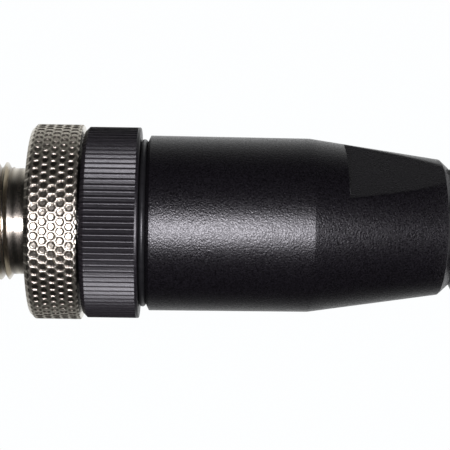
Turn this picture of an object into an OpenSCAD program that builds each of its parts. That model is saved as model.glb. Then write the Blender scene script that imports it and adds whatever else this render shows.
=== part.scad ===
// Straight male cable connector with an M12 screw coupling, standing on its cable end.
// The axis is Z, the pins point up, the spanner flats face +X and -X, the coding key is at +Y.
// The coupling thread is drawn as rings of its true profile, the threads inside as plain cylinders.
// Sizes are in millimetres.

/* [Coupling thread] */
// Outer diameter of the coupling thread
thread_d = 12; // [11.8:0.1:13]
// Pitch of the coupling thread
thread_pitch = 1; // [0.75:0.25:1.25]
// Length of the thread, lead chamfer included
thread_len = 7; // [6:0.25:9]
// Lead chamfer at the tip of the thread
thread_lead = 0.5; // [0.3:0.1:0.8]
// Wall of the barrel between its bore and the floor of the thread
barrel_wall = 0.53; // [0.4:0.01:0.6]
// How far the neck behind the thread is undercut below the thread's floor
neck_relief = 0.06; // [0:0.02:0.3]
// Length of the undercut neck
neck_len = 2; // [1.5:0.25:4]

/* [Knurled ring] */
// Diameter over the knurl
ring_d = 19.8; // [18:0.2:22]
// Length of the ring
ring_len = 5.05; // [4.5:0.05:7]
// Chamfer at the front end of the ring
ring_chamfer = 0.45; // [0.2:0.05:0.7]
// Edge break at the rear end of the ring
ring_edge = 0.1; // [0.05:0.05:0.3]
// Pits around the knurl
knurl_count = 68; // [48:1:72]
// Gap between neighbouring pits around the ring
knurl_land = 0.145; // [0.1:0.005:0.2]
// Length of a pit along the axis
pit_len = 1.1; // [0.9:0.05:1.2]
// Distance between neighbouring rows of pits along the axis
pit_row_step = 0.84; // [0.8:0.01:1]
// Depth of the pits
knurl_depth = 0.28; // [0.15:0.01:0.35]
// Thickness of the shoulder by which the ring turns on the insert
shoulder_t = 2; // [1:0.25:2.5]
// Depth of that shoulder behind the ring's front face
shoulder_inset = 0.4; // [0:0.1:1]
// Gap between the ring and the collar
ring_gap = 0.2; // [0.1:0.05:0.5]

/* [Ribbed collar] */
// Radial step from the ring down to the collar's ribs
collar_step = 0.2; // [0:0.05:0.6]
// Length of the collar
collar_len = 5.62; // [5:0.1:8]
// Number of ribs around
rib_count = 100; // [60:1:110]
// Depth of the grooves between the ribs
rib_depth = 0.25; // [0.1:0.05:0.35]
// Chamfer at the collar's front edge
collar_chamfer = 0.55; // [0.2:0.05:0.6]
// Plain margin behind the ribs
rib_margin = 0.2; // [0.15:0.05:0.6]
// Edge break at the rear of that margin
margin_edge = 0.15; // [0.05:0.05:0.2]
// Thickness of the collar's front wall
front_wall_t = 3.15; // [2:0.25:4]
// Diameter of the hub on which the ring turns
hub_d = 12.84; // [12:0.1:14]

/* [Insert and contacts] */
// Wall of the shroud
shroud_wall = 0.65; // [0.5:0.05:0.75]
// Depth of the shroud behind the tip of the thread
shroud_recess = 0.3; // [0.1:0.1:1]
// Depth of the socket inside the shroud
socket_depth = 8; // [6:0.25:8.25]
// Diameter of the stem behind the shroud
stem_d = 8.4; // [8:0.1:8.6]
// Width of the coding key
key_w = 1.1; // [0.8:0.1:1.4]
// Height of the coding key above the shroud's inner wall
key_h = 0.7; // [0.4:0.1:0.9]
// Number of contact pins
pin_count = 4; // [3:1:4]
// Diameter of the circle through the pins
pin_circle_d = 5.66; // [5.4:0.1:5.8]
// Diameter of a contact pin
pin_d = 1; // [0.8:0.05:1.1]
// Diameter of the pin's pressed-in body
pin_body_d = 1.4; // [1.35:0.05:1.6]
// Thickness of the ring seal in the hub behind the ring's shoulder
insert_seal_t = 0.84; // [0.7:0.02:0.9]
// Depth of the pins' tips behind the shroud's edge
pin_recess = 1.3; // [0.5:0.1:2]

/* [Terminals] */
// Diameter of the terminal block
block_d = 13; // [12.8:0.1:13.4]
// Length of the terminal block
block_len = 15.5; // [15:0.25:16]
// Depth of the wire clamps behind the block's rear face
clamp_recess = 0.7; // [0.3:0.1:1.5]
// Length of a wire clamp
clamp_len = 4.5; // [4:0.25:5]
// Width of a wire clamp
clamp_w = 2.5; // [2.3:0.1:2.6]
// Radial height of a wire clamp
clamp_h = 3.75; // [3.5:0.05:4]
// Diameter of the wire hole in a clamp
wire_d = 1.6; // [1.4:0.1:1.8]
// Length over which a clamp grips its pin
pin_grip = 1.5; // [1:0.1:2]
// Diameter of a terminal screw
screw_d = 1.6; // [1.4:0.1:1.8]
// Length of a terminal screw
screw_len = 2.2; // [1.8:0.1:2.5]
// How far a terminal screw stands out of its clamp
screw_proud = 0.5; // [0.2:0.1:0.6]
// Width of a terminal screw's slot
slot_w = 0.35; // [0.3:0.05:0.4]
// Depth of a terminal screw's slot
slot_depth = 0.5; // [0.3:0.05:0.6]
// Diameter of the screwdriver hole over each screw
driver_d = 2; // [1.8:0.1:2.2]

/* [Sleeve] */
// Diameter of the sleeve at its front
sleeve_front_d = 17.8; // [17.4:0.1:19]
// Diameter where the taper begins
sleeve_waist_d = 17.64; // [17.2:0.1:19]
// Diameter where the taper ends
sleeve_end_d = 13.8; // [13.2:0.1:15]
// Length of the chamfer at the sleeve's front edge
front_chamfer_len = 0.3; // [0.2:0.05:0.5]
// Height of the chamfer at the sleeve's front edge
front_chamfer_h = 0.6; // [0.3:0.05:0.7]
// Length of the sleeve
sleeve_len = 30.53; // [29:0.25:38]
// Length of the taper
taper_len = 13.1; // [12:0.25:15]
// Length of the chamfer at the cable end
end_chamfer_len = 1.1; // [0.4:0.1:1.5]
// Height of the chamfer at the cable end
end_chamfer_h = 1; // [0.3:0.02:1.1]
// Least width of the flat face at the cable end
end_land = 0.3; // [0.2:0.1:0.5]
// Distance across the spanner flats at their front step
flats_across = 14.14; // [13.6:0.1:15]
// Length of the spanner flats
flats_len = 10.8; // [8:0.2:12]
// Draft of the spanner flats
flats_draft = 1.8; // [0:0.1:2.5]
// Diameter of the sleeve's inner thread at the front
front_thread_d = 15.5; // [15.3:0.05:15.8]
// Length over which that thread is engaged
front_thread_len = 5.8; // [5.5:0.1:6.4]
// Free length behind that thread
thread_relief = 0.8; // [0.5:0.1:1.2]
// Diameter of the wiring chamber
chamber_d = 14.4; // [14:0.1:14.8]
// Diameter of the hole in the lip behind the cable seal
lip_hole_d = 8; // [7:0.2:9]
// Thickness of that lip
lip_t = 1.2; // [0.8:0.1:2]
// Length of the cone between the lip and the chamber
chamber_cone_len = 3.8; // [2.5:0.1:4.5]

/* [Seal groove] */
// Width of the groove between sleeve and collar
groove_w = 0.7; // [0.5:0.05:1.2]
// Diameter at the bottom of the groove
groove_d = 15.7; // [15.6:0.05:16]

/* [Cable gland] */
// Distance across the hexagon of the gland screw
gland_af = 12.5; // [11.5:0.1:13.5]
// Length of the hexagon
gland_head_len = 5.9; // [4:0.2:8]
// Chamfer over the hexagon's corners, past its flats
gland_chamfer = 0.3; // [0.1:0.05:0.5]
// Gap between the hexagon and the sleeve
gland_gap = 0.4; // [0.2:0.1:1]
// Diameter of the gland's thread in the sleeve
gland_thread_d = 10.5; // [10.2:0.1:11]
// Length over which that thread is engaged
gland_thread_len = 5; // [4.5:0.25:6]
// Diameter of the cable hole through the gland screw
cable_hole_d = 6.6; // [6:0.1:7.4]
// Flare of the cable hole at its mouth
cable_flare = 0.8; // [0.3:0.1:1.2]
// Extra diameter of the holes in the thrust ring and the cage
inner_hole_extra = 0.4; // [0.2:0.1:0.6]
// Thickness of the thrust ring
thrust_t = 0.8; // [0.5:0.1:1.2]
// Length of the clamping cage
cage_len = 4.8; // [4:0.2:6]
// Thickness of the cage's fingers and base
cage_wall = 0.7; // [0.5:0.05:0.9]
// Number of fingers on the cage
finger_count = 8; // [6:2:10]
// Width of the slots between the fingers
finger_gap = 0.6; // [0.4:0.05:0.8]
// Diameter of the hole through the cable seal
seal_hole_d = 5.5; // [4.5:0.1:5.8]
// Lead-in of that hole at both ends
seal_edge = 0.3; // [0.1:0.05:0.5]

/* [Fits] */
// Radial clearance where one piece turns or slides in another
run_gap = 0.08; // [0.05:0.01:0.1]
// Radial clearance where one piece is seated in another
seat_gap = 0.03; // [0.02:0.01:0.05]
// Axial play of the pieces that turn
end_play = 0.1; // [0.05:0.05:0.15]

/* [Hidden] */
$fn = 96;
over = 1; // how far a cutter reaches past the face that it opens
rib_over = 0.02; // how far the rib cutter's points stand off the collar

// Stations along the axis, from the cable end up
sleeve_z0 = gland_head_len + gland_gap;
sleeve_z1 = sleeve_z0 + sleeve_len;
collar_z0 = sleeve_z1 + groove_w;
collar_z1 = collar_z0 + collar_len;
ring_z0 = collar_z1 + ring_gap;
ring_z1 = ring_z0 + ring_len;
thread_z0 = ring_z1 + neck_len;
tip_z = thread_z0 + thread_len;
shoulder_z1 = ring_z1 - shoulder_inset;
shoulder_z0 = shoulder_z1 - shoulder_t;
hub_z1 = shoulder_z0 - end_play;
shroud_z0 = shoulder_z1 + end_play;
shroud_z1 = tip_z - shroud_recess;
socket_z = shroud_z1 - socket_depth;
block_z1 = collar_z1 - front_wall_t;
block_z0 = block_z1 - block_len;
clamp_z0 = block_z0 + clamp_recess;
clamp_z1 = clamp_z0 + clamp_len;
pin_z0 = clamp_z1 - pin_grip;
pin_z1 = shroud_z1 - pin_recess;
spigot_z0 = sleeve_z1 - front_thread_len;
thrust_z0 = sleeve_z0 + gland_thread_len + end_play;
cage_z0 = thrust_z0 + thrust_t + end_play;
cage_z1 = cage_z0 + cage_len;
lip_z1 = cage_z1 + lip_t;
taper_z0 = sleeve_z0 + end_chamfer_len;
taper_z1 = taper_z0 + taper_len;

// Coupling thread: grooves between crests an eighth of the pitch wide, each floor a quarter
flank_a = 30; // slope of a groove's flank
thread_r = thread_d / 2;
thread_crest = thread_pitch / 8;
groove_floor = thread_pitch / 4;
groove_flank = (thread_pitch - thread_crest - groove_floor) / 2;
groove_r = thread_r - groove_flank / tan(flank_a);
neck_r = groove_r - neck_relief;
crest_z0 = thread_z0 + (thread_r - neck_r) * tan(flank_a);
crest_z1 = tip_z - thread_lead;
groove_count = floor((crest_z1 - crest_z0 - thread_crest) / thread_pitch);

// Radii of the pieces that fit in one another
ring_r = ring_d / 2;
collar_r = ring_r - collar_step;
barrel_r = groove_r - barrel_wall; // of its bore
shroud_r = barrel_r - run_gap;
stem_r = stem_d / 2;
hub_r = hub_d / 2;
block_r = block_d / 2;
front_thread_r = front_thread_d / 2;
gland_thread_r = gland_thread_d / 2;
cage_r = gland_thread_r - 2 * seat_gap;
cage_bore_r = cage_r - cage_wall;
inner_hole_r = (cable_hole_d + inner_hole_extra) / 2;
flats_r = flats_across / 2;

// The seal behind the insert lies in a step of the hub, the one behind the collar in the groove
insert_seal_r = stem_r + seat_gap + insert_seal_t / 2;
insert_groove_r = stem_r + 2 * seat_gap + insert_seal_t;
sleeve_seal_t = groove_w - 2 * seat_gap;
sleeve_seal_r = groove_d / 2 + seat_gap + sleeve_seal_t / 2;

// Knurl: rhombic pits in staggered rows, a pyramid cut for each
knurl_z = (ring_z0 + ring_edge + ring_z1 - ring_chamfer) / 2;
pit_half_a = (360 / knurl_count - knurl_land / ring_r * 180 / PI) / 2;
pit_rows = 2 * floor((ring_len + pit_len) / 2 / pit_row_step) + 1;
pit_lift = 0.1; // how far a cutting pyramid's base stands off the ring

// Places of the pins and clamps around the axis
first_pin_a = 45;
pin_step_a = 360 / 4;
clamp_r0 = (pin_circle_d - clamp_w) / 2;
clamp_r1 = clamp_r0 + clamp_h;
screw_z = clamp_z0 + (clamp_len - pin_grip) / 2;

function on_ring(r, a, z) = [r * cos(a), r * sin(a), z];

// Apex and four base corners of the pyramid at angle a and height z
function pit_points(a, z) =
    let (grow = 1 + pit_lift / knurl_depth,
        r = ring_r + pit_lift,
        w = pit_half_a * grow,
        h = pit_len / 2 * grow)
    [on_ring(ring_r - knurl_depth, a, z), on_ring(r, a + w, z), on_ring(r, a, z + h),
        on_ring(r, a - w, z), on_ring(r, a, z - h)];

// Outline of thread groove number k: down to the floor, along it and up to the next crest
function groove_points(k) =
    let (z = crest_z0 + thread_crest + k * thread_pitch)
    [[thread_r, z], [groove_r, z + groove_flank],
        [groove_r, z + groove_flank + groove_floor], [thread_r, z + thread_pitch - thread_crest]];

// A pipe from z0 to z1
module pipe(r_out, r_in, z0, z1) {
    translate([0, 0, z0]) difference() {
        cylinder(h = z1 - z0, r = r_out);
        translate([0, 0, -over]) cylinder(h = z1 - z0 + 2 * over, r = r_in);
    }
}

// A cylinder from z0 to z1
module rod(r, z0, z1) {
    translate([0, 0, z0]) cylinder(h = z1 - z0, r = r);
}

// Turns its children to the place of pin number k
module at_pin(k) {
    rotate([0, 0, first_pin_a + k * pin_step_a]) children();
}

// All pyramids of the knurl as one body
module knurl_pits() {
    pits = [for (j = [0 : pit_rows - 1]) for (i = [0 : knurl_count - 1])
        pit_points((i + (j % 2) / 2) * 360 / knurl_count,
            knurl_z + (j - (pit_rows - 1) / 2) * pit_row_step)];
    points = [for (pit = pits) each pit];
    faces = [for (k = [0 : len(pits) - 1]) let (o = 5 * k)
        each [[o, o + 1, o + 2], [o, o + 2, o + 3], [o, o + 3, o + 4], [o, o + 4, o + 1],
            [o + 4, o + 3, o + 2, o + 1]]];
    polyhedron(points, faces);
}

// Knurled ring and threaded barrel in one, turned over the insert
module locking_screw() {
    color("silver") difference() {
        rotate_extrude() polygon(concat(
            [[hub_r + run_gap, ring_z0], [ring_r - ring_edge, ring_z0],
                [ring_r, ring_z0 + ring_edge], [ring_r, ring_z1 - ring_chamfer],
                [ring_r - ring_chamfer, ring_z1], [neck_r, ring_z1],
                [neck_r, thread_z0], [thread_r, crest_z0]],
            [for (k = [0 : groove_count - 1]) each groove_points(k)],
            [[thread_r, crest_z1], [thread_r - thread_lead, tip_z],
                [barrel_r, tip_z], [barrel_r, shoulder_z1],
                [stem_r + run_gap, shoulder_z1], [stem_r + run_gap, shoulder_z0],
                [hub_r + run_gap, shoulder_z0]]));
        knurl_pits();
    }
}

// Insulator: shroud with coding key in front, stem behind, a hole for each pin's body
module pin_insert() {
    socket_r = shroud_r - shroud_wall;
    color("#1c1c1e") difference() {
        union() {
            rotate_extrude() polygon([
                [0, block_z1], [stem_r, block_z1], [stem_r, shroud_z0], [shroud_r, shroud_z0],
                [shroud_r, shroud_z1], [socket_r, shroud_z1], [socket_r, socket_z],
                [0, socket_z]]);
            translate([-key_w / 2, socket_r - key_h, socket_z - shroud_wall])
                cube([key_w, key_h + shroud_wall / 2, socket_depth + shroud_wall]);
        }
        for (k = [0 : pin_count - 1]) at_pin(k) translate([pin_circle_d / 2, 0, 0])
            rod(pin_body_d / 2 + seat_gap, block_z1 - over, socket_z + over);
    }
}

// Round-nosed pin with a thicker body pressed into the insert, its tail in the wire clamp
module contact_pin(k) {
    r = pin_d / 2;
    nose = 0.45 * pin_d; // length of the rounded nose
    color("#c9a24a") at_pin(k) translate([pin_circle_d / 2, 0, 0]) rotate_extrude() polygon(concat(
        [[0, pin_z0], [r, pin_z0], [r, block_z1], [pin_body_d / 2, block_z1],
            [pin_body_d / 2, socket_z], [r, socket_z]],
        [for (a = [0 : 15 : 75]) [r * cos(a), pin_z1 - nose + nose * sin(a)]],
        [[0, pin_z1]]));
}

// Brass block with a wire hole behind, the pin's hole in front and a screw hole from outside
module wire_clamp(k) {
    color("#b08d57") at_pin(k) difference() {
        translate([clamp_r0, -clamp_w / 2, clamp_z0]) cube([clamp_h, clamp_w, clamp_len]);
        translate([pin_circle_d / 2, 0, 0]) {
            rod(pin_d / 2 + seat_gap, pin_z0 - over, clamp_z1 + over);
            rod(wire_d / 2, clamp_z0 - over, pin_z0);
        }
        translate([pin_circle_d / 2, 0, screw_z]) rotate([0, 90, 0])
            cylinder(h = clamp_h, d = screw_d);
    }
}

// Slotted screws, one in each wire clamp
module terminal_screws() {
    r1 = clamp_r1 + screw_proud;
    color("#b9bbbd") for (k = [0 : pin_count - 1]) at_pin(k) translate([0, 0, screw_z]) difference() {
        translate([r1 - screw_len, 0, 0]) rotate([0, 90, 0])
            cylinder(h = screw_len, r = screw_d / 2 - seat_gap);
        translate([r1 - slot_depth, -screw_d, -slot_w / 2]) cube([over, 2 * screw_d, slot_w]);
    }
}

// Ring seal behind the ring's shoulder
module insert_seal() {
    color("#3a2a22") translate([0, 0, hub_z1 - seat_gap - insert_seal_t / 2])
        rotate_extrude() translate([insert_seal_r, 0]) circle(d = insert_seal_t, $fn = 32);
}

// Star-shaped section of the ribs, its points just past the collar's surface
module rib_star() {
    peak_r = collar_r + rib_over;
    polygon([for (i = [0 : 2 * rib_count - 1])
        let (r = i % 2 == 0 ? peak_r : collar_r - rib_depth, a = i * 180 / rib_count)
        [r * cos(a), r * sin(a)]]);
}

// Contact carrier: ribbed grip, hub for the ring in front, threaded spigot for the sleeve behind
module ribbed_collar() {
    bore_r = block_r + seat_gap;
    rib_z0 = collar_z0 + rib_margin;
    color("#161617") difference() {
        rotate_extrude() polygon([
            [bore_r, spigot_z0], [front_thread_r - run_gap, spigot_z0],
            [front_thread_r - run_gap, sleeve_z1 + seat_gap], [groove_d / 2, sleeve_z1 + seat_gap],
            [groove_d / 2, collar_z0], [collar_r - margin_edge, collar_z0],
            [collar_r, collar_z0 + margin_edge], [collar_r, collar_z1 - collar_chamfer],
            [collar_r - collar_chamfer, collar_z1], [hub_r, collar_z1], [hub_r, hub_z1],
            [insert_groove_r, hub_z1], [insert_groove_r, hub_z1 - insert_seal_t - 2 * seat_gap],
            [stem_r + seat_gap, hub_z1 - insert_seal_t - 2 * seat_gap],
            [stem_r + seat_gap, block_z1], [bore_r, block_z1]]);
        translate([0, 0, rib_z0]) linear_extrude(height = collar_z1 - rib_z0 + over) difference() {
            circle(r = collar_r + over);
            rib_star();
        }
    }
}

// Insulating block with a pocket for each wire clamp, open towards the cable
module terminal_block() {
    gap = seat_gap;
    color("#2b2b2d") difference() {
        rod(block_r, block_z0, block_z1);
        for (k = [0 : pin_count - 1]) at_pin(k) {
            translate([clamp_r0 - gap, -clamp_w / 2 - gap, block_z0 - over])
                cube([clamp_h + 2 * gap, clamp_w + 2 * gap, clamp_z1 - block_z0 + over + gap]);
            translate([pin_circle_d / 2, 0, 0])
                rod(pin_d / 2 + gap, clamp_z1 - over, block_z1 + over);
            translate([clamp_r1 - over, 0, screw_z]) rotate([0, 90, 0])
                cylinder(h = block_r, d = driver_d);
        }
    }
}

// Ring seal in the groove between collar and sleeve
module sleeve_seal() {
    color("#0c0c0d") translate([0, 0, sleeve_z1 + groove_w / 2])
        rotate_extrude() translate([sleeve_seal_r, 0]) circle(d = sleeve_seal_t, $fn = 32);
}

// Cuts one spanner flat on the +X side, with its square step towards the front
module flat_cut() {
    z1 = sleeve_z0 + flats_len;
    z0 = sleeve_z0 - over;
    r0 = flats_r - (z1 - z0) * tan(flats_draft);
    rotate([90, 0, 0]) translate([0, 0, -collar_r]) linear_extrude(height = 2 * collar_r)
        polygon([[flats_r, z1], [r0, z0], [2 * collar_r, z0], [2 * collar_r, z1]]);
}

// Drafted sleeve with a tapered rear, two spanner flats, and threads at both ends inside
module housing_sleeve() {
    front_r = sleeve_front_d / 2;
    end_r = sleeve_end_d / 2;
    end_face_r = max(end_r - end_chamfer_h, gland_thread_r + end_land);
    color("#19171b") difference() {
        rotate_extrude() polygon([
            [gland_thread_r, sleeve_z0], [end_face_r, sleeve_z0],
            [end_r, taper_z0], [sleeve_waist_d / 2, taper_z1],
            [front_r, sleeve_z1 - front_chamfer_len], [front_r - front_chamfer_h, sleeve_z1],
            [front_thread_r, sleeve_z1], [front_thread_r, spigot_z0 - thread_relief],
            [chamber_d / 2, spigot_z0 - thread_relief], [chamber_d / 2, lip_z1 + chamber_cone_len],
            [lip_hole_d / 2, lip_z1], [lip_hole_d / 2, cage_z1], [gland_thread_r, cage_z1]]);
        flat_cut();
        mirror([1, 0, 0]) flat_cut();
    }
}

// Cup whose fingers close on the seal when the gland screw is tightened
module clamp_cage() {
    base_z = cage_z1 - cage_wall;
    color("#303033") difference() {
        rod(cage_r, cage_z0, cage_z1);
        rod(cage_bore_r, cage_z0 - over, base_z);
        rod(inner_hole_r, base_z - over, cage_z1 + over);
        for (k = [0 : finger_count / 2 - 1]) rotate([0, 0, k * 360 / finger_count])
            translate([-cage_r - over, -finger_gap / 2, cage_z0 - over])
                cube([2 * (cage_r + over), finger_gap, base_z - cage_z0 + over]);
    }
}

// Rubber bush round the cable
module cable_seal() {
    r_out = cage_bore_r - seat_gap;
    r_in = seal_hole_d / 2;
    z1 = cage_z1 - cage_wall;
    color("#222224") rotate_extrude() polygon([
        [r_in + seal_edge, cage_z0], [r_out, cage_z0], [r_out, z1], [r_in + seal_edge, z1],
        [r_in, z1 - seal_edge], [r_in, cage_z0 + seal_edge]]);
}

// Flat ring that keeps the turning gland screw off the seal
module thrust_ring() {
    color("#8e9092") pipe(gland_thread_r - run_gap, inner_hole_r, thrust_z0, thrust_z0 + thrust_t);
}

// Hexagonal gland screw with a flared cable hole
module gland_screw() {
    hex_r = gland_af / 2 / cos(30);
    edge = hex_r - gland_af / 2 + gland_chamfer;
    stem = gland_thread_r - run_gap;
    color("#19191b") difference() {
        union() {
            intersection() {
                rotate([0, 0, 30]) cylinder(h = gland_head_len, r = hex_r, $fn = 6);
                rotate_extrude() polygon([
                    [0, 0], [hex_r - edge, 0], [hex_r, edge * tan(30)],
                    [hex_r, gland_head_len - edge * tan(30)], [hex_r - edge, gland_head_len],
                    [0, gland_head_len]]);
            }
            rod(stem, gland_head_len - over, thrust_z0 - end_play);
        }
        rotate_extrude() polygon([
            [0, -over], [cable_hole_d / 2 + cable_flare, -over],
            [cable_hole_d / 2 + cable_flare, 0], [cable_hole_d / 2, cable_flare],
            [cable_hole_d / 2, thrust_z0 + over], [0, thrust_z0 + over]]);
    }
}

locking_screw();
pin_insert();
contact_pin(0);  // contact_pin_1
contact_pin(1);  // contact_pin_2
contact_pin(2);  // contact_pin_3
contact_pin(3);  // contact_pin_4
wire_clamp(0);  // wire_clamp_1
wire_clamp(1);  // wire_clamp_2
wire_clamp(2);  // wire_clamp_3
wire_clamp(3);  // wire_clamp_4
terminal_screws();
insert_seal();
ribbed_collar();
terminal_block();
sleeve_seal();
housing_sleeve();
clamp_cage();
cable_seal();
thrust_ring();
gland_screw();
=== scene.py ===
import math
import bpy
import numpy as np
from mathutils import Matrix, Vector


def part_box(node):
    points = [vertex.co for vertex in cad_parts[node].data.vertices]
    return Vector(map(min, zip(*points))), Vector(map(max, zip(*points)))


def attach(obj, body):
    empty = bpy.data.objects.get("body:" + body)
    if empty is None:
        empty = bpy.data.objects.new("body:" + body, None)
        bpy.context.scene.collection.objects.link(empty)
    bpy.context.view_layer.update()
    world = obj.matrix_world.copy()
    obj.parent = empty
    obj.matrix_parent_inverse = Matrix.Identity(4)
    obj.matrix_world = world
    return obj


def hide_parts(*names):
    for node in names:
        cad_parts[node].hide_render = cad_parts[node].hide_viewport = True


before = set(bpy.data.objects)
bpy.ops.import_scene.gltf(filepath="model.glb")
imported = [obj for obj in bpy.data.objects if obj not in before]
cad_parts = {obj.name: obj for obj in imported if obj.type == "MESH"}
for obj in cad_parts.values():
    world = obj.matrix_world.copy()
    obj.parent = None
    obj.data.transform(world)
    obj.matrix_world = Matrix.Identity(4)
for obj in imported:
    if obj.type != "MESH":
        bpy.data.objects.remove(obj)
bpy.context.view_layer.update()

# Straight male M12 cable connector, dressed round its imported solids.
# Every shape is worked out in millimetres and written to its mesh in metres.
mm = 0.001
turn = 2 * math.pi


cameraLook = {
    "distance": 136.0,  # from the connector's axis, mm
    "azimuth": 40.0,  # degrees, 0 looks along +Y
    "height": 33.0,  # height on the axis that the lens points at, mm
    "sideStep": -0.16,  # how far the lens axis passes beside the connector's axis, mm
    "tilt": 0.85,  # degrees that the connector's axis drops towards the cable end
    "lens": 106.6,
    "sensor": 36,
    "shift": 0.089,
    "nearest": 0.005,  # clipping distances, m
    "farthest": 10,
}


def makeCamera(look):
    # the camera stands level with the connector and is rolled so that the pins point left
    azimuth = math.radians(look["azimuth"])
    back = Vector((math.sin(azimuth), -math.cos(azimuth), 0))
    side = Vector((math.cos(azimuth), math.sin(azimuth), 0))
    down = Vector((0, 0, -1))
    tilt = math.radians(look["tilt"])
    right = down * math.cos(tilt) + side * math.sin(tilt)
    up = side * math.cos(tilt) - down * math.sin(tilt)
    data = bpy.data.cameras.new("camera")
    data.lens = look["lens"]
    data.sensor_width = look["sensor"]
    data.shift_x = look["shift"]
    data.clip_start = look["nearest"]
    data.clip_end = look["farthest"]
    camera = bpy.data.objects.new("camera", data)
    place = (back * look["distance"] + side * look["sideStep"]) * mm
    place.z = look["height"] * mm
    camera.matrix_world = Matrix((
        (right.x, up.x, back.x, place.x),
        (right.y, up.y, back.y, place.y),
        (right.z, up.z, back.z, place.z),
        (0, 0, 0, 1)))
    bpy.context.collection.objects.link(camera)
    bpy.context.scene.camera = camera
    return back, side


towardsCamera, sideways = makeCamera(cameraLook)
print("camera made")


def nodeBox(name):
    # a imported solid's lowest and highest corners, in millimetres
    low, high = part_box(name)
    return np.array(low) / mm, np.array(high) / mm


def meshPiece(name, points, faces, material, body, replaced, sharp, fields=None):
    # points in millimetres, faces an array of quads, sharp the angle in degrees past which an edge
    # stays hard, fields one number per point
    mesh = bpy.data.meshes.new(name)
    mesh.vertices.add(len(points))
    mesh.vertices.foreach_set("co", (points * mm).astype(np.float32).ravel())
    mesh.loops.add(faces.size)
    mesh.loops.foreach_set("vertex_index", faces.astype(np.int32).ravel())
    mesh.polygons.add(len(faces))
    mesh.polygons.foreach_set("loop_start", np.arange(0, faces.size, faces.shape[1], dtype=np.int32))
    mesh.update(calc_edges=True)
    mesh.validate()
    for key, values in (fields or {}).items():
        layer = mesh.attributes.new(key, "FLOAT", "POINT")
        layer.data.foreach_set("value", values.astype(np.float32).ravel())
    mesh.polygons.foreach_set("use_smooth", np.ones(len(mesh.polygons), dtype=bool))
    mesh.set_sharp_from_angle(angle=math.radians(sharp))
    mesh.materials.append(material)
    piece = bpy.data.objects.new(name, mesh)
    bpy.context.collection.objects.link(piece)
    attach(piece, body)
    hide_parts(*replaced)
    print(name, len(mesh.vertices), "points", len(mesh.polygons), "faces")


def roundedOutline(corners, step, arcSteps=4):
    # closed outline (radius, height) from corners (radius, height, rounding): each corner is an arc
    # tangent to its two sides, and each straight side is cut into stretches of about one step
    spots = np.array([corner[:2] for corner in corners], dtype=float)
    before = np.roll(spots, 1, axis=0) - spots
    after = np.roll(spots, -1, axis=0) - spots
    before /= np.linalg.norm(before, axis=1)[:, None]
    after /= np.linalg.norm(after, axis=1)[:, None]
    arcs = []
    for (_, _, rounding), spot, toBefore, toAfter in zip(corners, spots, before, after):
        if rounding == 0:
            arcs.append(spot[None])
            continue
        half = math.acos(float(np.clip(toBefore @ toAfter, -1, 1))) / 2
        middle = (toBefore + toAfter) / np.linalg.norm(toBefore + toAfter)
        centre = spot + middle * rounding / math.sin(half)
        first = spot + toBefore * rounding / math.tan(half) - centre
        last = spot + toAfter * rounding / math.tan(half) - centre
        share = np.linspace(0, 1, arcSteps + 1)[:, None]
        swept = math.pi - 2 * half
        arc = (np.sin((1 - share) * swept) * first + np.sin(share * swept) * last) / math.sin(swept)
        arcs.append(centre + arc)
    parts = []
    for arc, following in zip(arcs, arcs[1:] + arcs[:1]):
        gap = following[0] - arc[-1]
        count = max(1, int(math.ceil(np.linalg.norm(gap) / step)))
        share = np.arange(1, count)[:, None] / count
        parts += [arc, arc[-1] + gap * share]
    outline = np.concatenate(parts)
    return outline[:, 0], outline[:, 1]


def gridFaces(rows, columns, closedRows=True):
    # quads of a grid whose columns close round the axis, and whose rows close too if asked
    row = np.arange(rows if closedRows else rows - 1)[:, None]
    column = np.arange(columns)[None]
    above = (row + 1) % rows
    beside = (column + 1) % columns
    quads = np.stack([row * columns + column, row * columns + beside,
        above * columns + beside, above * columns + column], axis=-1)
    return quads.reshape(-1, 4)


def outwards(radius, height, faces):
    # a closed outline that runs the other way round would turn the surface inside out
    area = np.sum(radius * np.roll(height, -1) - np.roll(radius, -1) * height)
    return faces if area > 0 else faces[:, ::-1]


def turnedPoints(radius, angle, height):
    # point = (radius cos angle, radius sin angle, height), whole arrays at once
    radius, angle, height = np.broadcast_arrays(radius, angle, height)
    return np.stack([radius * np.cos(angle), radius * np.sin(angle), height], axis=-1).reshape(-1, 3)


def addNode(tree, kind, inputs=None, **settings):
    # adds a node, links those inputs that are sockets and writes the rest as values
    node = tree.nodes.new(kind)
    for key, value in settings.items():
        setattr(node, key, value)
    for key, value in (inputs or {}).items():
        if isinstance(value, bpy.types.NodeSocket):
            tree.links.new(value, node.inputs[key])
        else:
            node.inputs[key].default_value = value
    return node


def newMaterial(name, **values):
    # a Principled material with its constants on the shader's own sockets
    material = bpy.data.materials.new(name)
    material.use_nodes = True
    tree = material.node_tree
    shader = tree.nodes["Principled BSDF"]
    for key, value in values.items():
        shader.inputs[key].default_value = value
    spot = addNode(tree, "ShaderNodeTexCoord").outputs["Object"]
    return material, tree, shader, spot


def noise(tree, spot, size, detail=3.0, roughness=0.55):
    # noise whose features are about size millimetres across
    return addNode(tree, "ShaderNodeTexNoise", {"Vector": spot, "Scale": 1 / (size * mm),
        "Detail": detail, "Roughness": roughness}).outputs["Fac"]


def stretched(tree, spot, scale):
    # a small scale on an axis draws a pattern out along it
    return addNode(tree, "ShaderNodeMapping", {"Vector": spot, "Scale": scale}).outputs["Vector"]


def maths(tree, operation, *values):
    # one sum or product of numbers and sockets
    return addNode(tree, "ShaderNodeMath", dict(enumerate(values)), operation=operation).outputs[0]


def ranged(tree, value, low, high, toLow, toHigh):
    # carries the span from low to high over to the span from toLow to toHigh, clamped
    return addNode(tree, "ShaderNodeMapRange", {"Value": value, "From Min": low, "From Max": high,
        "To Min": toLow, "To Max": toHigh}).outputs["Result"]


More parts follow.
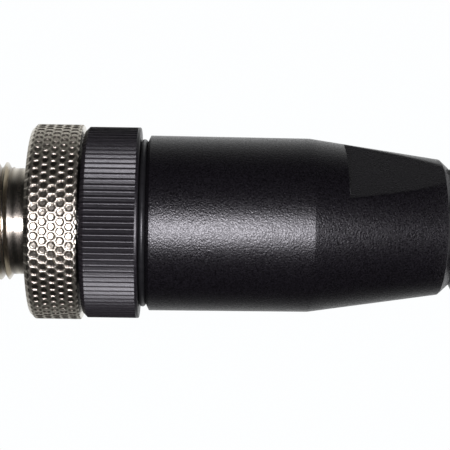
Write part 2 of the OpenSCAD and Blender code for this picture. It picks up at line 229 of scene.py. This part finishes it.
def mixed(tree, share, first, second):
    # a blend of two colours, each a socket or three numbers
    node = addNode(tree, "ShaderNodeMix", {"Factor": share}, data_type="RGBA")
    for socket, value in ((node.inputs[6], first), (node.inputs[7], second)):
        if isinstance(value, bpy.types.NodeSocket):
            tree.links.new(value, socket)
        else:
            socket.default_value = (*value, 1)
    return node.outputs[2]


def field(tree, name):
    # a number that the mesh holds at each point
    return addNode(tree, "ShaderNodeAttribute", attribute_name=name).outputs["Fac"]


def bumped(tree, shader, height, depth, strength=1.0):
    # depth is the height in millimetres that a value of 1 stands for
    node = addNode(tree, "ShaderNodeBump", {"Height": height, "Distance": depth * mm,
        "Strength": strength})
    tree.links.new(node.outputs["Normal"], shader.inputs["Normal"])


def into(tree, shader, key, value):
    # links a socket to one of the shader's inputs
    tree.links.new(value, shader.inputs[key])


nickelFinish = {
    "plate": ((0.66, 0.60, 0.50), (0.78, 0.73, 0.63)),
    # dark brown of the pits and grooves: dirt plus painted shade
    "dirtAndShade": ((0.040, 0.027, 0.020), (0.080, 0.056, 0.042)),
    "roughness": (0.11, 0.24),
    "pitDulling": 0.30,  # roughness added in the pits
    "rollDulling": 0.14,  # and where the pattern was rolled in
    "marks": 0.04,  # height of the turning marks as a share of the rolled dents'
    "relief": 0.05,  # mm
}


def nickelMaterial(look):
    # nickel plate: slightly warm, turning marks round the axis, darker and duller in the pits, where the
    # darkening is dirt plus painted shade
    material, tree, shader, spot = newMaterial("nickelPlate", Metallic=1.0)
    fine = noise(tree, spot, 0.12, 4)
    rings = noise(tree, stretched(tree, spot, (0.02, 0.02, 1)), 0.07, 2)
    pit = field(tree, "recess")
    rolled = field(tree, "rolled")
    plate = mixed(tree, noise(tree, spot, 1.6), *look["plate"])
    dirtAndShade = mixed(tree, ranged(tree, fine, 0.3, 0.7, 0.2, 0.9), *look["dirtAndShade"])
    # the pits and grooves are mixed towards the dark brown: dirt plus painted shade
    into(tree, shader, "Base Color", mixed(tree, pit, plate, dirtAndShade))
    base = ranged(tree, fine, 0.25, 0.75, *look["roughness"])
    dirty = maths(tree, "MULTIPLY_ADD", pit, look["pitDulling"], base)
    into(tree, shader, "Roughness", maths(tree, "MULTIPLY_ADD", rolled, look["rollDulling"], dirty))
    # turning marks everywhere, and small dents where the pattern was rolled in
    dents = maths(tree, "MULTIPLY", rolled, noise(tree, spot, 0.13, 2))
    bumped(tree, shader, maths(tree, "MULTIPLY_ADD", rings, look["marks"], dents), look["relief"])
    return material


sleeveFinish = {
    "grain": 0.16,  # size of the lumps, mm
    "fleck": 0.13,  # size of the glossier spots, mm
    "hollows": (0.0027, 0.0022, 0.0031),
    "lumps": ((0.0068, 0.0060, 0.0078), (0.0100, 0.0088, 0.0113)),
    "roughness": (0.23, 0.405),
    "relief": 0.042,  # mm
}


def sleeveMaterial(look):
    # black moulding with a spark-eroded grain: small lumps, and flecks that each catch the light
    material, tree, shader, spot = newMaterial("sleeveBlack")
    grain = noise(tree, spot, look["grain"], 1, 0.5)
    fleck = noise(tree, spot, look["fleck"], 1, 0.5)
    lumps = mixed(tree, noise(tree, spot, 5), *look["lumps"])
    height = ranged(tree, grain, 0.38, 0.66, 0, 1)
    into(tree, shader, "Base Color", mixed(tree, height, look["hollows"], lumps))
    into(tree, shader, "Roughness", ranged(tree, fleck, 0.36, 0.64, *look["roughness"]))
    bumped(tree, shader, grain, look["relief"], 0.7)
    return material


collarFinish = {
    "grain": 0.10,  # mm
    "hollows": (0.0036, 0.0030, 0.0041),
    "lumps": (0.0215, 0.0194, 0.0227),
    "edges": (0.040, 0.036, 0.041),
    "roughness": (0.30, 0.42),
    "relief": 0.026,  # mm
}


def collarMaterial(look):
    # satin black moulding, its edges rubbed a little paler
    material, tree, shader, spot = newMaterial("collarBlack")
    fine = noise(tree, spot, look["grain"], 3)
    dark = mixed(tree, ranged(tree, fine, 0.35, 0.65, 0, 1), look["hollows"], look["lumps"])
    into(tree, shader, "Base Color", mixed(tree, field(tree, "edge"), dark, look["edges"]))
    into(tree, shader, "Roughness", ranged(tree, fine, 0.3, 0.7, *look["roughness"]))
    bumped(tree, shader, fine, look["relief"], 0.7)
    return material


def plasticMaterial(name, dark, pale, low, high):
    # plain moulded plastic, its roughness from low to high
    material, tree, shader, spot = newMaterial(name)
    fine = noise(tree, spot, 0.12, 3)
    into(tree, shader, "Base Color", mixed(tree, noise(tree, spot, 2.2), dark, pale))
    into(tree, shader, "Roughness", ranged(tree, fine, 0.3, 0.7, low, high))
    bumped(tree, shader, fine, 0.006, 0.5)
    return material


def rubberMaterial(name, dark, pale):
    # moulded rubber, a little glossy with a dusty bloom
    material, tree, shader, spot = newMaterial(name)
    bloom = noise(tree, spot, 0.6, 4)
    into(tree, shader, "Base Color", mixed(tree, bloom, dark, pale))
    into(tree, shader, "Roughness", ranged(tree, bloom, 0.3, 0.7, 0.26, 0.42))
    bumped(tree, shader, noise(tree, spot, 0.15), 0.004, 0.4)
    return material


def metalMaterial(name, dark, pale, low, high):
    # machined or plated metal with fine scratches, its roughness from low to high
    material, tree, shader, spot = newMaterial(name, Metallic=1.0)
    scratch = noise(tree, stretched(tree, spot, (1, 1, 0.12)), 0.05, 2)
    into(tree, shader, "Base Color", mixed(tree, noise(tree, spot, 0.7), dark, pale))
    into(tree, shader, "Roughness", ranged(tree, scratch, 0.3, 0.7, low, high))
    bumped(tree, shader, scratch, 0.002, 0.4)
    return material


nickelPlate = nickelMaterial(nickelFinish)
sleeveBlack = sleeveMaterial(sleeveFinish)
collarBlack = collarMaterial(collarFinish)
insertBlack = plasticMaterial("insertBlack", (0.018, 0.018, 0.020), (0.028, 0.028, 0.030), 0.30, 0.46)
cageGrey = plasticMaterial("cageGrey", (0.07, 0.07, 0.075), (0.10, 0.10, 0.105), 0.35, 0.5)
sealBlack = rubberMaterial("sealBlack", (0.010, 0.010, 0.011), (0.018, 0.018, 0.019))
sealBrown = rubberMaterial("sealBrown", (0.07, 0.035, 0.022), (0.11, 0.055, 0.036))
contactGold = metalMaterial("contactGold", (0.80, 0.58, 0.24), (0.90, 0.68, 0.32), 0.12, 0.24)
clampBrass = metalMaterial("clampBrass", (0.60, 0.47, 0.27), (0.70, 0.57, 0.35), 0.22, 0.38)
screwSteel = metalMaterial("screwSteel", (0.52, 0.52, 0.54), (0.64, 0.64, 0.65), 0.22, 0.36)
print("materials made")


ringLook = {
    "pits": 68,  # in each row round the ring
    "rowStep": 0.84,  # between neighbouring rows of pits, mm
    "depth": 0.10,
    "crown": 0.04,  # how far the ridges round off towards the pits, mm
    "rim": 0.79,  # share of a pit's cell inside its rim
    "overhang": 0.04,  # how far a pit's walls reach past its rim, as a share of its cell
    "steep": 0.18,  # width of a pit's walls round the ring, as a share of its cell
    "gentle": 0.26,  # and along the ring
    "bare": 0.85,  # how much plating shows through the painted shade and dirt, steep walls apart
    "darkReach": 12,  # how far the painted shade and dirt spread up and down a steep wall, 4 leaves them halfway only
    "lighterAlong": 0.7,  # how much less of the painted shade and dirt a wall along the ring holds
    "corners": 7,  # power of the norm: higher gives pits with sharper corners
    "chamfer": 0.45,  # at the front
    "edge": 0.1,  # edge break at the rear
    "length": 5.05,
    "columnsPerPit": 12,
    "step": 0.068,  # between rows of points, mm
    "rearBore": 6.5,
    "frontBore": 5.2,
    "shoulder": (46.0, 48.0, 4.28),  # from, to, inner radius
    "faceRow": 0.03,  # how far inside the edges the two plain faces get a row of their own
}


def pitDistance(around, along, halfPitch, rowStep, power):
    # distance from the middle of a hexagonal cell, 1 on its border: the largest of the distances
    # to its three pairs of sides, taken as a power norm so that the corners come out round
    side = (halfPitch ** 2 + rowStep ** 2) / 2
    pairs = [np.abs(around) / halfPitch,
        np.abs(around * halfPitch + along * rowStep) / side,
        np.abs(around * halfPitch - along * rowStep) / side]
    return sum(pair ** power for pair in pairs) ** (1 / power)


def nearestPit(around, along, half, row, power):
    # distance from the middle of the nearest pit of both grids, and how far the way there runs
    # along the ring: 1 along it, 0 round it
    distance, lengthwise = [], []
    for shift in (0, 1):
        u = (around + half + shift * half) % (2 * half) - half
        v = (along + row + shift * row) % (2 * row) - row
        distance.append(pitDistance(u, v, half, row, power))
        lengthwise.append(v ** 2 / (u ** 2 + v ** 2 + 1e-9))
    first = distance[0] < distance[1]
    return np.where(first, *distance), np.where(first, *lengthwise)


def makeRing(look):
    # radius = turned outline less the pits: two rectangular grids of hexagonal cells, half a step
    # apart, each cell rounded off to its rim and then sinking in an S curve to a flat floor; the
    # curve is short round the ring and long along it, and the painted shade and dirt sit where it is
    # short
    low, high = nodeBox("locking_screw")
    ringRadius, z0 = high[0], low[2]
    z1 = z0 + look["length"]
    chamfer, edge = look["chamfer"], look["edge"]
    columns = look["pits"] * look["columnsPerPit"]
    angle = np.arange(columns) * turn / columns
    band = np.linspace(z0, z1, int(round(look["length"] / look["step"])) + 1)
    outline = ringRadius - np.clip(chamfer - (z1 - band), 0, chamfer)
    outline -= np.clip(edge - (band - z0), 0, edge)
    around = (angle * ringRadius)[None]
    along = (band - (z0 + edge + z1 - chamfer) / 2)[:, None]
    half, row = math.pi * ringRadius / look["pits"], look["rowStep"]
    distance, lengthwise = nearestPit(around, along, half, row, look["corners"])
    rim, crown = look["rim"], look["crown"]
    rounded = crown * np.clip((1 - distance) / (1 - rim), 0, 1) ** 2
    width = look["steep"] + (look["gentle"] - look["steep"]) * lengthwise
    wall = np.clip((rim + look["overhang"] - distance) / width, 0, 1)
    # painted shade: steep walls round the ring are painted dark, walls along it less
    steepness = np.clip(look["darkReach"] * wall * (1 - wall), 0, 1) * (1 - look["lighterAlong"] * lengthwise)
    wall = wall * wall * (3 - 2 * wall)
    sunk = look["depth"] - crown
    radius = np.minimum(ringRadius - rounded - sunk * wall, outline[:, None])
    # the painted shade and dirt come in over the first quarter of a pit's depth
    inside = np.clip((outline[:, None] - radius - crown) / sunk * 4, 0, 1)
    recess = inside * (1 - look["bare"] * (1 - steepness))
    rolled = 1 - wall
    bottom, top, stem = look["shoulder"]
    front, rear = outline[-1] - look["faceRow"], outline[0] - look["faceRow"]
    inner = np.array([[front, z1], [look["frontBore"], z1], [look["frontBore"], top], [stem, top],
        [stem, bottom], [look["rearBore"], bottom], [look["rearBore"], z0], [rear, z0]])
    plain = np.zeros((len(inner), columns))
    radius = np.concatenate([radius, plain + inner[:, :1]])
    height = np.concatenate([band, inner[:, 1]])
    fields = {"recess": np.concatenate([recess, plain]), "rolled": np.concatenate([rolled, plain])}
    faces = outwards(radius.max(axis=1), height, gridFaces(len(height), columns))
    meshPiece("knurledRing", turnedPoints(radius, angle[None], height[:, None]), faces, nickelPlate,
        "coupling", replaced=["locking_screw"], sharp=40, fields=fields)


makeRing(ringLook)


barrelLook = {
    "pitch": 1.0,
    "crest": 6.0,
    "neck": 5.4,
    "neckLength": 2.0,
    "grooveDepth": 0.57,
    "flank": 30.0,  # degrees between a flank and the plane across the axis
    "crestAngle": 130.0,  # degrees round the axis at which a crest meets the end of the neck
    "lead": 0.5,
    "bore": 4.93,
    "boreChamfer": 0.12,
    "foot": 0.1,  # how far the barrel is sunk into the ring's shoulder
    "dirtAndShade": 0.4,  # dirt and painted shade at the bottom of the grooves
    "columns": 256,
    "step": 0.045,
}


def makeBarrel(look):
    # radius = turned outline less a helical groove: a V with 60 degree flanks that climbs one pitch
    # per turn, its bottom cut flat, and that runs out into the neck
    low, high = nodeBox("locking_screw")
    tip = high[2]
    neckEnd = low[2] + ringLook["length"] + look["neckLength"]
    foot = ringLook["shoulder"][1] - look["foot"]
    crest, neck, bore, lead = look["crest"], look["neck"], look["bore"], look["lead"]
    outer = np.linspace(foot, tip, int(round((tip - foot) / look["step"])) + 1)
    slope = math.tan(math.radians(look["flank"]))
    rise = np.clip((outer - neckEnd) / ((crest - neck) * slope), 0, 1)
    outline = neck + (crest - neck) * rise - np.clip(outer - (tip - lead), 0, lead)
    columns = look["columns"]
    angle = np.arange(columns) * turn / columns
    pitch = look["pitch"]
    lap = (outer[:, None] - neckEnd) / pitch - (angle[None] - math.radians(look["crestAngle"])) / turn
    fromGroove = (0.5 - np.abs((lap + 0.5) % 1 - 0.5)) * pitch
    # a crest is an eighth of the pitch wide, so a groove reaches 7/16 of it to each side
    groove = np.clip((pitch * 7 / 16 - fromGroove) / slope, 0, look["grooveDepth"])
    radius = np.minimum(outline[:, None], crest - groove)
    chamfer = look["boreChamfer"]
    inner = np.array([[bore + chamfer, tip], [bore, tip - chamfer], [bore, foot]])
    plain = np.zeros((len(inner), columns))
    radius = np.concatenate([radius, plain + inner[:, :1]])
    height = np.concatenate([outer, inner[:, 1]])
    # painted shade and dirt: darker the deeper the groove
    recess = np.concatenate([groove / look["grooveDepth"] * look["dirtAndShade"], plain])
    faces = outwards(radius.max(axis=1), height, gridFaces(len(height), columns))
    meshPiece("threadedBarrel", turnedPoints(radius, angle[None], height[:, None]), faces,
        nickelPlate, "coupling", replaced=["locking_screw"], sharp=35,
        fields={"recess": recess})


makeBarrel(barrelLook)


collarLook = {
    "ribs": 100,
    "depth": 0.22,
    "crown": 0.30,  # share of each flank that is rounded off to the crest
    "rubbed": 0.2,  # share of each flank that is rubbed paler
    "length": 5.62,
    "gap": 0.2,  # between ring and collar
    "margin": 0.3,  # plain stretch behind the ribs
    "chamfer": 0.45,
    "hub": 6.42,
    "bore": 4.23,
    "recess": (5.1, 0.9),  # radius and depth of the opening in the hub's end
    "neck": (7.85, 0.67),  # radius and length of the neck behind the ribs
    "spigot": 7.67,
    "chamber": 6.53,
    "web": 3.15,  # thickness between the collar's front and its chamber
    "columnsPerRib": 12,
    "step": 2.5,  # longest stretch between rows of points, mm
}


def makeCollar(look):
    # radius = turned outline less a V groove between each two ribs, its depth the distance from the
    # nearest crest, with the crest rounded; the grooves stop at the plain margin
    low, high = nodeBox("ribbed_collar")
    collarRadius, hubTop = high[0], high[2]
    z1 = nodeBox("locking_screw")[0][2] - look["gap"]
    z0 = z1 - look["length"]
    hub, bore, spigot, chamber = look["hub"], look["bore"], look["spigot"], look["chamber"]
    neck, neckLength = look["neck"]
    opening, openingDepth = look["recess"]
    ribStart = z0 + look["margin"]
    chamberTop = z1 - look["web"]
    corners = [(hub, hubTop, 0.05), (hub, z1, 0.05), (collarRadius - look["chamfer"], z1, 0.08),
        (collarRadius, z1 - look["chamfer"], 0.08), (collarRadius, ribStart, 0),
        (collarRadius, z0, 0.14), (neck, z0, 0.05), (neck, z0 - neckLength, 0.03),
        (spigot, z0 - neckLength, 0), (spigot, low[2], 0.1), (chamber, low[2], 0.1),
        (chamber, chamberTop, 0), (bore, chamberTop, 0.05), (bore, hubTop - openingDepth, 0),
        (opening, hubTop - openingDepth, 0), (opening, hubTop, 0.05)]
    radius, height = roundedOutline(corners, look["step"])
    near = 0.01
    ribbed = (radius > collarRadius - look["depth"] - near) & (height > ribStart - near)
    columns = look["ribs"] * look["columnsPerRib"]
    angle = np.arange(columns) * turn / columns
    fromCrest = 1 - np.abs((angle * look["ribs"] / turn) % 1 - 0.5) * 2  # 0 on a crest, 1 in a groove
    crown = look["crown"]
    rounded = np.where(fromCrest < crown, fromCrest ** 2 / (2 * crown), fromCrest - crown / 2)
    ribRadius = collarRadius - look["depth"] * rounded / rounded.max()
    # the row at the margin stands twice, ribbed and plain, so that the grooves end in a wall
    wall = int(np.flatnonzero((np.abs(height - ribStart) < near) & (radius > collarRadius - near))[0])
    radius, height, ribbed = (np.insert(row, wall + 1, row[wall]) for row in (radius, height, ribbed))
    ribbed[wall + 1] = False
    radii = np.repeat(radius[:, None], columns, axis=1)
    radii[ribbed] = np.minimum(radii[ribbed], ribRadius[None])
    edge = np.zeros_like(radii)
    edge[ribbed] = np.clip(1 - fromCrest[None] / look["rubbed"], 0, 1)
    faces = outwards(radius, height, gridFaces(len(radius), columns))
    meshPiece("ribbedCollar", turnedPoints(radii, angle[None], height[:, None]), faces, collarBlack,
        "carrier", replaced=["ribbed_collar"], sharp=32, fields={"edge": edge})


makeCollar(collarLook)


sleeveLook = {
    "frontRadius": 8.9,
    "waistRadius": 8.82,
    "endRadius": 6.9,
    "taperLength": 13.1,
    "endChamfer": 1.1,
    "endChamferHeight": 1.0,
    "mouth": (7.75, 6.6),  # radius and length of the thread's bore at the front
    "chamber": (7.2, 22.0),  # radius of the wiring chamber, height of its lower end
    "lip": (4.0, 18.2, 17.0),  # radius of the hole behind it, heights of its two ends
    "glandBore": 5.25,
    "flatRadius": 7.07,
    "flatLength": 10.8,
    "flatDraft": 1.8,
    "edgeRounding": 0.09,
    "cutFrom": 6.05,  # radius past which the flats may cut
    "columnsOnFlat": 48,
    "columnsBetween": 56,
    "step": 0.4,  # between rows of points, mm
}


def softMin(a, b, rounding):
    # the smaller of two distances, with the crease between them rounded off
    share = np.clip(0.5 + 0.5 * (b - a) / rounding, 0, 1)
    return b + (a - b) * share - rounding * share * (1 - share)


def flatColumns(boundary, perFlat, perSide, flats=2):
    # angles round the axis: each flat's columns spread between its own two edges on every row,
    # the rest between the flats, closer together near the edges
    inside = np.sin(np.linspace(-0.5, 0.5, perFlat + 1) * math.pi)
    outside = (1 - np.cos(np.linspace(0, 1, perSide + 1) * math.pi)) / 2
    sector = turn / flats
    edge = boundary[:, None]
    parts = []
    for middle in np.arange(flats) * sector:
        parts.append(middle + edge * inside[None, :-1])
        parts.append(middle + edge + (sector - 2 * edge) * outside[None, :-1])
    return np.concatenate(parts, axis=1)


def makeSleeve(look):
    # radius = the smaller of the turned outline and the flat's distance / cos(angle from its middle)
    low, high = nodeBox("housing_sleeve")
    z0, z1 = low[2], high[2]
    front, waist, end = look["frontRadius"], look["waistRadius"], look["endRadius"]
    taper0 = z0 + look["endChamfer"]
    taper1 = taper0 + look["taperLength"]
    stepHeight = z0 + look["flatLength"]
    mouth, mouthLength = look["mouth"]
    chamber, chamberFoot = look["chamber"]
    lip, lipTop, lipFoot = look["lip"]
    bore = look["glandBore"]
    corners = [(bore, z0, 0.1), (end - look["endChamferHeight"], z0, 0.08), (end, taper0, 0.12),
        (waist, taper1, 0.6), (front, z1 - 0.3, 0.08), (front - 0.6, z1, 0.08), (mouth, z1, 0.05),
        (mouth, z1 - mouthLength, 0), (chamber, z1 - mouthLength, 0), (chamber, chamberFoot, 0),
        (lip, lipTop, 0), (lip, lipFoot, 0), (bore, lipFoot, 0)]
    radius, height = roundedOutline(corners, look["step"])
    # the rows on the outside: at the flats' heights every bore is narrower than this
    outside = radius > look["cutFrom"]
    climbing = (height < stepHeight) & (np.roll(height, -1) >= stepHeight) & outside
    at = int(np.flatnonzero(climbing)[0])
    slope = (radius[at + 1] - radius[at]) / (height[at + 1] - height[at])
    # new rows at the flats' step: how far from it, and how much of the flat's depth they have; the
    # wall itself stands between two rows at one height
    near, depth = np.array([(-0.12, 1), (-0.05, 1), (0, 0.9), (0, 0.1), (0.05, 0), (0.12, 0)]).T
    keep = (np.abs(height - stepHeight) > near.max() + 0.01) | ~outside
    near = near + stepHeight
    sunk = np.where(outside & (height < stepHeight), 1.0, 0.0)

    def spliced(row, rows):
        # the kept rows before the step, the new ones at it, the kept rows behind it
        return np.concatenate([row[:at + 1][keep[:at + 1]], rows, row[at + 1:][keep[at + 1:]]])

    radius, height, sunk = (spliced(radius, radius[at] + slope * (near - height[at])),
        spliced(height, near), spliced(sunk, depth))
    draft = math.tan(math.radians(look["flatDraft"]))
    flat = look["flatRadius"] - np.clip(stepHeight - height, 0, None) * draft
    boundary = np.arccos(np.clip(flat / np.maximum(radius, flat), -1, 1))
    onFlat = sunk > 0.5
    narrowest = 0.02  # where a flat has run out, its columns still keep apart
    boundary = np.where(onFlat, np.maximum(boundary, narrowest), boundary[onFlat].max())
    angle = flatColumns(boundary, look["columnsOnFlat"], look["columnsBetween"])
    offFlat = (angle + math.pi / 2) % math.pi - math.pi / 2
    planar = flat[:, None] / np.cos(np.clip(offFlat, -1.2, 1.2))  # far from a flat it is cut short
    turned = np.repeat(radius[:, None], angle.shape[1], axis=1)
    cut = softMin(turned, planar, look["edgeRounding"])
    radii = turned + (np.minimum(cut, turned) - turned) * sunk[:, None]
    faces = outwards(radius, height, gridFaces(len(radius), angle.shape[1]))
    meshPiece("sleeve", turnedPoints(radii, angle, height[:, None]), faces, sleeveBlack, "housing",
        replaced=["housing_sleeve"], sharp=40)


makeSleeve(sleeveLook)


dressing = {
    "pin_insert": insertBlack,
    "terminal_block": insertBlack,
    "gland_screw": collarBlack,
    "sleeve_seal": sealBlack,
    "cable_seal": sealBlack,
    "insert_seal": sealBrown,
    "clamp_cage": cageGrey,
    "thrust_ring": clampBrass,
    "terminal_screws": screwSteel,
}
for number in range(1, 5):
    dressing[f"contact_pin_{number}"] = contactGold
    dressing[f"wire_clamp_{number}"] = clampBrass
for nodeName, material in dressing.items():
    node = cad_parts[nodeName]
    node.data.materials.clear()
    node.data.materials.append(material)
print("solids dressed")


stageLook = {
    "floorRadius": 16.0,
    "floorRings": 40,
    "floorSpokes": 96,
    "floorColour": (0.90, 0.92, 0.93),
    "floorBounce": (0.40, 0.41, 0.42),  # what the floor gives back to the connector
    "floorLift": 0.72,  # light added to the floor where the camera or a reflection sees it
    "backColour": (0.985, 0.995, 1.0),
    "roomLevel": 0.010,  # how bright the room is on the camera's side
    "roomRise": 10.0,  # degrees by which the bright side is turned up in the rolled view
    "roomFade": 2.1,  # power of the cosine with which the bright side fades out
}


def makeFloor(look):
    # disc of rings and spokes at the connector's foot, its middle closed by one face
    rings, spokes = look["floorRings"], look["floorSpokes"]
    radii = np.linspace(0.4, look["floorRadius"], rings)
    angle = np.arange(spokes) * turn / spokes
    points = turnedPoints(radii[:, None], angle[None], np.zeros((1, 1)))
    faces = gridFaces(rings, spokes, closedRows=False)
    mesh = bpy.data.meshes.new("floor")
    mesh.from_pydata((points * mm).tolist(), [], faces.tolist() + [list(range(spokes))[::-1]])
    floor = bpy.data.objects.new("floor", mesh)
    bpy.context.collection.objects.link(floor)
    material, tree, shader, spot = newMaterial("floorWhite", Roughness=0.7)
    ray = addNode(tree, "ShaderNodeLightPath").outputs
    glossy = maths(tree, "MAXIMUM", ray["Is Camera Ray"], ray["Is Glossy Ray"])
    seen = maths(tree, "MAXIMUM", glossy, ray["Is Transmission Ray"])
    paler = tuple(channel + 0.02 for channel in look["floorColour"])
    pale = mixed(tree, noise(tree, spot, 30), look["floorColour"], paler)
    into(tree, shader, "Base Color", mixed(tree, seen, look["floorBounce"], pale))
    into(tree, shader, "Emission Strength", maths(tree, "MULTIPLY", seen, look["floorLift"]))
    mesh.materials.append(material)


def makeWorld(look, back, side):
    # rays that leave away from the camera meet a bright backdrop, those on its side a dim room;
    # the camera sees the backdrop's colour all round
    world = bpy.data.worlds.new("studio")
    bpy.context.scene.world = world
    world.use_nodes = True
    tree = world.node_tree
    tree.nodes.clear()
    way = addNode(tree, "ShaderNodeTexCoord").outputs["Generated"]
    rise = math.radians(look["roomRise"])
    middle = side * math.sin(rise) - back * math.cos(rise)
    facing = addNode(tree, "ShaderNodeVectorMath", {0: way, 1: tuple(middle)}, operation="DOT_PRODUCT")
    ahead = maths(tree, "MAXIMUM", facing.outputs["Value"], 0)
    bright = maths(tree, "POWER", ahead, look["roomFade"])
    colour = mixed(tree, bright, (look["roomLevel"],) * 3, look["backColour"])
    ray = addNode(tree, "ShaderNodeLightPath")
    seen = mixed(tree, ray.outputs["Is Camera Ray"], colour, look["backColour"])
    shade = addNode(tree, "ShaderNodeBackground", {"Color": seen, "Strength": 1.0})
    output = addNode(tree, "ShaderNodeOutputWorld")
    tree.links.new(shade.outputs[0], output.inputs["Surface"])


makeFloor(stageLook)
makeWorld(stageLook, towardsCamera, sideways)


keyLook = {
    "distance": 150.0,
    "radius": 36.0,
    "down": 8.0,  # degrees below the line of sight in the rolled view
    "radiance": 22.4,
    "colour": (0.95, 0.92, 1.0),
}


def makeKeyLamp(look, back, side):
    # a disc lamp beside the camera; its power = radiance * pi * its area
    down = math.radians(look["down"])
    way = back * math.cos(down) - side * math.sin(down)
    data = bpy.data.lights.new("keyLamp", "AREA")
    data.shape = "DISK"
    data.size = 2 * look["radius"] * mm
    data.energy = look["radiance"] * math.pi * math.pi * (look["radius"] * mm) ** 2
    data.color = look["colour"]
    lamp = bpy.data.objects.new("keyLamp", data)
    lamp.location = (Vector((0, 0, cameraLook["height"])) + way * look["distance"]) * mm
    lamp.rotation_mode = "QUATERNION"
    lamp.rotation_quaternion = (-way).to_track_quat("-Z", "Y")
    bpy.context.collection.objects.link(lamp)


makeKeyLamp(keyLook, towardsCamera, sideways)
bpy.context.scene.view_settings.view_transform = "Standard"
print("stage and lights made")
